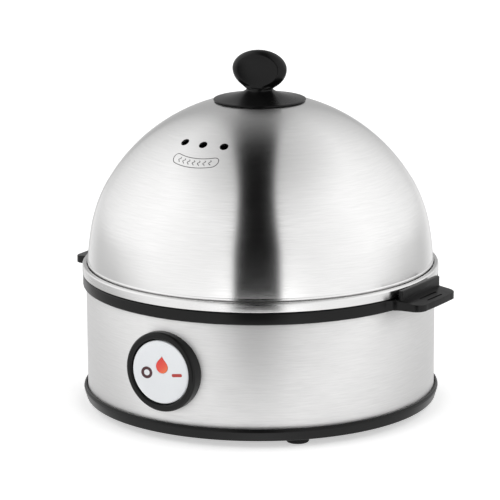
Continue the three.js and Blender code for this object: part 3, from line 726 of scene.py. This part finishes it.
# ---- Heating bowl, collar, sleeve -----------------------------------------------------------------
def make_bowl():
    floor, floor_r = BOWL_FLOOR, BOWL_FLOOR_R
    ledge, lid_ledge = RACK_BOTTOM - GAP, LID_FOOT - GAP
    outer = [
        (0, floor, 0), (floor_r + 5, floor, 9), (70.4, ledge - 4, 6), (74.5, ledge, 2.5), (80.2, ledge, 0.8),
        (80.6, lid_ledge, 0.5), (BAND_INNER_R, lid_ledge, 0.3), (BAND_INNER_R, BAND_TOP, 0.3),
        (BAND_R, BAND_TOP, 1.5), (BAND_R, BAND_TOP - BAND_HEIGHT, 0.15),
    ]
    inner = [
        (BAND_R - SHEET, BAND_TOP - BAND_HEIGHT, 0.15), (BAND_R - SHEET, lid_ledge - SHEET, 0.3),
        (81.3, lid_ledge - SHEET, 0.4), (80.9, ledge - SHEET, 0.7), (74.9, ledge - SHEET, 2.5),
        (71.1, ledge - 4.2, 6), (floor_r + 5.4, floor - SHEET, 9), (0, floor - SHEET, 0),
    ]
    bowl = turned("bowl_sheet", filleted(outer + inner, 6), 256)
    piece(bowl, "housing", "bowl_steel", "heating_bowl")
    gasket = washer_ring("rim_seal", 81.4, 84.4, COLLAR_TOP + GAP, COLLAR_TOP + 0.9, 0.2)
    piece(gasket, "housing", "silicone", "bowl_gasket")


def ear_outline():
    """Ear seen from above: fillets at the collar, straight flanks and rounded corners."""
    end, tip_half = EAR_TIP - 0.3, 11
    corner_pull, corner_from = (100, 18.4), (92.8, 18.3)
    fillet_from, fillet_pull, fillet_end = (90, 18.6), (84.5, 19.35), (83.4, 23.4)
    tip = quadratic((end, -tip_half), (EAR_TIP + 0.3, 0), (end, tip_half), 12)
    flank = quadratic((end, tip_half), corner_pull, corner_from, 16) + [corner_from]
    flank += quadratic(fillet_from, fillet_pull, fillet_end, 12) + [fillet_end]
    return tip + flank + [(x, -y) for x, y in reversed(flank)][:-1]


def ear_top(x):
    return EAR_TOP - (x - COLLAR_R) * EAR_FALL


def make_ear(side):
    """Sloping plate with two grooves, joined to the collar, and a guard that stands across it."""
    plate = extruded("ear_plate", ear_outline(), EAR_BOTTOM, EAR_TOP + 1)
    far = EAR_TIP + 5
    fall = [(0, EAR_TOP), (COLLAR_R, EAR_TOP), (far, ear_top(far)), (far, 80), (0, 80)]
    half_sweep = math.radians(30)
    above = turned("ear_above", fall, 60, start=-half_sweep, sweep=2 * half_sweep)
    combine(plate, [above])
    round_edges(plate, 0.7, 4)
    guard_low, guard_high = (GUARD_FROM, -GUARD_HALF, EAR_TOP - 1.5), (GUARD_TO, GUARD_HALF, GUARD_TOP)
    guard = block("ear_guard", guard_low, guard_high, 0.4)
    combine(plate, [guard], "UNION")
    clear_r = COLLAR_R - 0.6
    clear = turned("inner_clear", [(0, 50), (clear_r, 50), (clear_r, 80), (0, 80)])
    grooves = []
    for x, half in EAR_GROOVES:
        ends = arc(x, half, 0.5, 0, math.pi, 8)
        outline = ends + [(2 * x - u, -v) for u, v in ends]
        grooves.append(extruded("ear_groove", outline, ear_top(x) - 0.5, EAR_TOP + 1))
    combine(plate, [clear] + grooves)
    if side < 0:
        move(plate, spin(math.pi))
    return plate


def make_collar():
    ring = turned(
        "collar_ring",
        filleted([
            (85.3, COLLAR_BOTTOM, 0.2), (COLLAR_R, COLLAR_BOTTOM, 0.5), (COLLAR_R, COLLAR_TOP, 0.7),
            (RIB_INNER, COLLAR_TOP, 0.3), (RIB_INNER, RIB_BOTTOM, 0.2), (RIB_OUTER, RIB_BOTTOM, 0.2),
            (RIB_OUTER, COLLAR_SEAT, 0.2), (85.3, COLLAR_SEAT, 0.2),
        ]),
        ROUND,
    )
    posts = []
    for angle in CORNER_ANGLES:
        post = rod("screw_post", POST_R, BOSS_TOP + GAP, POST_TOP, 32, 0.3)
        posts.append(move(post, shift(*on_ring(POST_RING_R, angle))))
        web = block("post_web", (2, -WEB_HALF, 40), (6.6, WEB_HALF, POST_TOP), 0.2)
        posts.append(move(web, shift(*on_ring(POST_RING_R, angle)) @ spin(angle)))
    for side in (1, -1):
        lug = rod("bridge_lug", POST_R, 36.3, POST_TOP, 32, 0.3)
        posts.append(move(lug, shift(side * LUG_AT, 0, 0)))
        web = block("lug_web", (2, -WEB_HALF, 44), (8.6, WEB_HALF, POST_TOP), 0.2)
        posts.append(move(web, spin(0 if side > 0 else math.pi) @ shift(LUG_AT, 0, 0)))
    combine(ring, [make_ear(1), make_ear(-1)] + posts, "UNION", sharp_deg=32)
    piece(ring, "housing", "black_plastic", "housing_collar")


def make_sleeve():
    inside = SLEEVE_R - SHEET
    section = [
        (inside, SLEEVE_BOTTOM, 0.1), (SLEEVE_R, SLEEVE_BOTTOM, 0.15),
        (SLEEVE_R, SLEEVE_TOP, 0.15), (inside, SLEEVE_TOP, 0.1),
    ]
    sleeve = turned("sleeve_sheet", filleted(section, 2), 256)
    switch_hole = move(rod("switch_hole", BARREL_R + 0.3, 70, 100, 96), to_front())
    cord_hole = move(rod("cord_hole", 5.6, 70, 100), shift(0, 0, GLAND_Z) @ spin(-math.pi / 2, "X"))
    combine(sleeve, [switch_hole, cord_hole])
    piece(sleeve, "housing", "brushed_steel", "body_shell")


# ---- Base -----------------------------------------------------------------------------------------
def make_base():
    rim = span("base_pan")[1].x
    pan = turned(
        "base_tray",
        filleted([
            (0, BASE_BOTTOM, 0), (85.7, BASE_BOTTOM, 0.6), (rim, 8, 0.5), (86.7, 8.7, 0.3),
            (86.4, 8.65, 0.12), (86.35, PAN_TOP, 0.3), (85.4, PAN_TOP, 0.3),
            (GROOVE_OUTER, GROOVE_FLOOR, 0.1), (GROOVE_INNER, GROOVE_FLOOR, 0.2),
            (GROOVE_INNER, BOSS_TOP, 0.3), (PAN_WALL_R, BOSS_TOP, 0.3), (PAN_WALL_R, PAN_FLOOR, 0.6),
            (0, PAN_FLOOR, 0),
        ]),
        256,
    )
    bosses = []
    for angle in CORNER_ANGLES:
        boss = rod("boss", BOSS_R, 5, BOSS_TOP, 40, 0.4)
        bosses.append(move(boss, shift(*on_ring(POST_RING_R, angle))))
    posts = [
        move(rod("clamp_post", 3.2, 5, 19.7, 32, 0.3), shift(x, CLAMP_Y, 0)) for x in (-CLAMP_X, CLAMP_X)
    ]
    saddle = block("saddle", (-4.5, 63.5, 5), (4.5, 68.5, 12.8))
    combine(pan, bosses + posts + [saddle], "UNION")
    cuts = []
    for angle in CORNER_ANGLES:
        well = turned(
            "foot_well",
            [(0, BASE_BOTTOM - 1), (6.2, BASE_BOTTOM - 1), (6.2, BASE_BOTTOM), (5.8, BASE_BOTTOM + 0.4),
             (5.8, 4.8), (3.6, 4.8), (3.6, 7.6), (1.9, 7.6), (1.9, 13), (0, 13)],
            48,
        )
        cuts.append(move(well, shift(*on_ring(POST_RING_R, angle))))
    for x in range(-30, 31, 10):
        left, right, reach = x - VENT_SLOT_HALF, x + VENT_SLOT_HALF, VENT_SLOT_REACH
        corners = [(left, -reach), (right, -reach), (right, reach), (left, reach)]
        slot = [(u, v, VENT_SLOT_ROUND) for u, v in corners]
        cuts.append(extruded("vent_slot", filleted(slot), 0, 8))
    for x in (-CLAMP_X, CLAMP_X):
        cuts.append(move(rod("clamp_bore", 1.5, 9, 21, 24), shift(x, CLAMP_Y, 0)))
    cuts.append(move(rod("gland_way", 6.6, 78, 84.6), shift(0, 0, GLAND_Z) @ spin(-math.pi / 2, "X")))
    combine(pan, cuts)
    piece(pan, "housing", "black_plastic", "base_pan")
    for i, angle in enumerate(CORNER_ANGLES):
        foot = turned(
            f"foot_pad_{i + 1}",
            filleted([(0, 0, 0), (5.4, 0, 0.8), (FOOT_R, FOOT_TOP, 0.1), (0, FOOT_TOP, 0)], 6),
            64,
        )
        move(foot, shift(*on_ring(POST_RING_R, angle)))
        piece(foot, "housing", "foot_rubber", f"rubber_foot_{i + 1}")


# ---- Switch ---------------------------------------------------------------------------------------
def make_bezel():
    bezel = turned(
        "bezel_ring",
        filleted([
            (BEZEL_BORE, 76, 0.2), (BARREL_R, 76, 0.3), (BARREL_R, BEZEL_BACK, 0), (BEZEL_R, BEZEL_BACK, 0),
            (BEZEL_R, BEZEL_FRONT, 1.9), (BEZEL_BORE, BEZEL_FRONT, 0.9),
        ], 8),
        160,
    )
    move(bezel, to_front())
    inside = turned("sleeve_space", [(60, 0), (SLEEVE_R + 0.05, 0), (SLEEVE_R + 0.05, 80), (60, 80)], 256)
    barrel = move(rod("barrel_keep", BARREL_R + 0.02, 0, 120, 96), to_front())
    combine(inside, [barrel])
    combine(bezel, [inside])
    piece(bezel, "housing", "black_plastic", "switch_bezel")


def face_depth(radius):
    """Distance from the cooker's axis to the dished rocker face at this radius."""
    share = min(radius / (ROCKER_R - 0.6), 1)
    return ROCKER_FACE - DISH * (1 - share * share) ** 1.1


def drop_outline(grow=0.0, steps=12):
    """Drop with its tip up: full left side, slightly hollow right side under the tip."""
    radius, centre = 3.1 + grow, 2.3
    tip = (0.2, 7.4 + 1.5 * grow)

    def cubic(a, b, c, d):
        a, b, c, d = (Vector(p) for p in (a, b, c, d))
        return [
            tuple((1 - t) ** 3 * a + 3 * t * (1 - t) ** 2 * b + 3 * t * t * (1 - t) * c + t ** 3 * d)
            for t in (i / steps for i in range(steps))
        ]

    left = cubic(tip, (-0.5, 6.2), (-radius, 4.7), (-radius, centre))
    bowl = arc(0, centre, radius, math.pi, 2 * math.pi, 2 * steps)[:-1]
    right = cubic((radius, centre), (radius, 4.4), (1 + grow, 5.2), tip)
    return left + bowl + right


def face_sign(name, outline, hole=None, lift=0.05):
    """Thin printed sign that follows the dished rocker face; (u, v) are across and up."""
    verts, faces = [], []
    middle = tuple(sum(values) / len(outline) for values in zip(*outline))
    inner = hole or [middle] * len(outline)
    rings = 4
    for level in (-0.15, lift):
        for k in range(rings + 1):
            for (u, v), (s, t) in zip(outline, inner):
                x, y = u + (s - u) * k / rings, v + (t - v) * k / rings
                verts.append((x, y, face_depth(math.hypot(x, y)) + level))
    count = len(outline)
    layer = (rings + 1) * count
    for base in (0, layer):
        for k in range(rings):
            for i in range(count):
                j = (i + 1) % count
                a = base + k * count
                faces.append((a + i, a + j, a + count + j, a + count + i))
    for k in (0, rings) if hole else (0,):
        for i in range(count):
            j = (i + 1) % count
            faces.append((k * count + i, k * count + j, layer + k * count + j, layer + k * count + i))
    return add_mesh(name, verts, faces)


def make_rocker():
    rest = shift(0, -ROCKER_PIVOT, 0) @ spin(ROCKER_REST) @ shift(0, ROCKER_PIVOT, 0) @ to_front()
    rings = 16
    rim_r, back = ROCKER_R - 0.6, ROCKER_FACE - 3.4
    face = [(rim_r * i / rings, face_depth(rim_r * i / rings)) for i in range(rings)]
    rim = arc(rim_r, ROCKER_FACE - 0.6, 0.6, 0, math.pi / 2, 6)
    disc = turned("rocker_disc", [(0, back), (ROCKER_R, back)] + rim + face[::-1], 128)
    window_hole = extruded("window_hole", drop_outline(0.15), 70, 95)
    combine(disc, [window_hole])
    lugs = []
    for low in (9.2, -12.6):
        lugs.append(block("pivot_lug", (-3, low, ROCKER_PIVOT - 3), (3, low + 3.4, ROCKER_FACE - 3)))
    lugs.append(block("contact_tongue", (-1.2, -9.5, 78.6), (1.2, -6, ROCKER_FACE - 3)))
    combine(disc, lugs, "UNION")
    move(disc, rest)
    piece(disc, "switch_rocker", "white_plastic", "rocker")

    depth = face_depth(4)
    window = extruded("window_drop", drop_outline(0.0), depth - 1.2, depth + 0.12, 0.1, 2)
    piece(move(window, rest), "switch_rocker", "red_lens", "indicator_window")

    off_u, off_v = -8.0, -1.3
    ring = face_sign("off_ring_sign", circle(off_u, off_v, 2.85), circle(off_u, off_v, 1.45))
    piece(move(ring, rest), "switch_rocker", "white_plastic", finish="brown_ink")
    dash_u, dash_v, dash_w, dash_h = 8.3, -0.7, 2.9, 0.75
    lean = Matrix.Rotation(math.radians(9), 2)  # the dash leans a little against the level
    corners = [(-dash_w, -dash_h), (dash_w, -dash_h), (dash_w, dash_h), (-dash_w, dash_h)]
    leaning = [Vector((dash_u, dash_v)) + lean @ Vector(corner) for corner in corners]
    dash = face_sign("on_dash_sign", filleted([(u, v, 0.6) for u, v in leaning]))
    piece(move(dash, rest), "switch_rocker", "white_plastic", finish="red_ink")


# ---- Cord gland -----------------------------------------------------------------------------------
def make_gland():
    gland = turned(
        "gland_sleeve",
        filleted([
            (3.6, 80.6, 0.2), (7.4, 80.6, 0.3), (7.4, 83.6, 0.2), (5.2, 83.6, 0.1), (5.2, 85.05, 0.1),
            (8, 85.05, 0.3), (7.4, GLAND_OUT, 1.0), (3.6, GLAND_OUT, 0.8),
        ]),
        64,
    )
    move(gland, shift(0, 0, GLAND_Z) @ spin(-math.pi / 2, "X"))
    piece(gland, "housing", "black_plastic", "cord_gland")


def dress_inner_nodes():
    """The inner pieces keep their CAD shape and get the finish of their material slot."""
    slots = {row["node"]: row["material_slot"] for row in frame["record"]["subparts"]}
    for name, obj in frame["nodes"].items():
        for holder in obj.material_slots:
            holder.material = FINISH[slots[name]]


# ---- Studio ---------------------------------------------------------------------------------------
VIEW_TURN = math.radians(32)  # the camera stands this far to the right of the switch
CAMERA_DISTANCE, CAMERA_HEIGHT = 1360, 398.4
PAN, PITCH, ROLL = -0.00372, 0.23376, -0.0052
LENS = 206.34


def make_camera():
    forward = Vector((math.sin(PAN) * math.cos(PITCH), math.cos(PAN) * math.cos(PITCH), -math.sin(PITCH)))
    right = Vector((math.cos(PAN), -math.sin(PAN), 0))
    up = right.cross(forward)
    across = math.cos(ROLL) * right + math.sin(ROLL) * up
    upright = -math.sin(ROLL) * right + math.cos(ROLL) * up
    turn = Matrix.Rotation(VIEW_TURN, 3, "Z")
    data = bpy.data.cameras.new("studio_camera")
    data.lens = LENS
    data.sensor_width = 36
    data.clip_end = 50
    camera = bpy.data.objects.new("studio_camera", data)
    rotation = turn @ Matrix((across, upright, -forward)).transposed()
    place = turn @ Vector((0, -CAMERA_DISTANCE, CAMERA_HEIGHT)) * MM
    camera.matrix_world = Matrix.Translation(place) @ rotation.to_4x4()
    bpy.context.scene.collection.objects.link(camera)
    bpy.context.scene.camera = camera


class Sky(Shader):
    """World shader with the same helpers as a material."""

    def __init__(self):
        world = bpy.data.worlds.new("studio")
        bpy.context.scene.world = world
        world.use_nodes = True
        self.tree = world.node_tree
        self.position = self.node("ShaderNodeTexCoord").outputs["Generated"]


def make_studio():
    """White surround with tall soft boxes left and right and a dark gap between them at the camera."""
    sky = Sky()
    turn = sky.node("ShaderNodeVectorRotate", rotation_type="Z_AXIS")
    sky.link(sky.position, turn.inputs["Vector"])
    turn.inputs["Angle"].default_value = -VIEW_TURN
    split = sky.node("ShaderNodeSeparateXYZ")
    sky.link(turn.outputs[0], split.inputs[0])
    x, y, z = split.outputs
    azimuth = sky.math("ARCTAN2", x, sky.math("MULTIPLY", y, -1))
    away = sky.math("DIVIDE", sky.math("ABSOLUTE", azimuth), math.pi)
    walls = sky.ramp(
        away, (0.0, grey(0.98)), (0.22, grey(1.06)), (0.45, grey(1.22)), (0.65, grey(1.12)),
        (0.80, grey(0.92)), (0.92, grey(0.60)),
    )
    ground = sky.ramp(
        away, (0.0, grey(1.8)), (0.10, grey(1.5)), (0.20, grey(1.15)), (0.42, grey(1.05)),
        (0.62, grey(0.62)), (0.75, grey(0.60)), (0.88, grey(0.90)),
    )
    ceiling = sky.node("ShaderNodeMix", data_type="RGBA")
    sky.link(sky.ranged(z, 0, 1, 0.72, 0.98), ceiling.inputs["Factor"])
    sky.link(walls, ceiling.inputs["A"])
    ceiling.inputs["B"].default_value = (*grey(0.62), 1)
    level = sky.node("ShaderNodeMix", data_type="RGBA")
    sky.link(sky.ranged(z, 0, 1, -0.10, 0.04), level.inputs["Factor"])
    sky.link(ground, level.inputs["A"])
    sky.link(ceiling.outputs["Result"], level.inputs["B"])
    narrowing = sky.ranged(z, 1.08, 0.75, 0.3, 0.88)
    sideways = sky.math("DIVIDE", sky.math("ABSOLUTE", sky.math("ADD", x, 0.036)), narrowing)
    edge = sky.ranged(sideways, 1, 0, 0.225, 0.262)
    front = sky.ranged(y, 1, 0, 0.15, 1.2)
    over_floor = sky.ranged(z, 0, 1, -0.45, -0.34)
    gap = sky.math("MULTIPLY", sky.math("MULTIPLY", edge, front), over_floor)
    dark = sky.node("ShaderNodeMix", data_type="RGBA")
    sky.link(gap, dark.inputs["Factor"])
    sky.link(level.outputs["Result"], dark.inputs["A"])
    dark.inputs["B"].default_value = (*grey(0.0), 1)
    seen = sky.node("ShaderNodeMix", data_type="RGBA")
    sky.link(sky.node("ShaderNodeLightPath").outputs["Is Camera Ray"], seen.inputs["Factor"])
    sky.link(dark.outputs["Result"], seen.inputs["A"])
    seen.inputs["B"].default_value = (*grey(1.0), 1)
    sky.link(seen.outputs["Result"], sky.tree.nodes["Background"].inputs["Color"])

    floor = extruded("studio_floor", [(-4000, -4000), (4000, -4000), (4000, 4000), (-4000, 4000)], -20, 0)
    paper = Shader("floor_paper", Roughness=0.9, Specular_IOR_Level=0.1, Emission_Strength=0.5)
    paper.bsdf.inputs["Base Color"].default_value = (0.92, 0.92, 0.92, 1)
    paper.bsdf.inputs["Emission Color"].default_value = (1, 1, 1, 1)
    floor.data.materials.append(paper.material)
    floor.visible_glossy = False
    bpy.context.scene.view_settings.view_transform = "Standard"


make_camera()
make_studio()
make_dome()
make_steam_sign()
make_knob()
make_knob_fixings()
make_rack()
make_bowl()
make_collar()
make_sleeve()
make_base()
make_bezel()
make_rocker()
make_gland()
dress_inner_nodes()
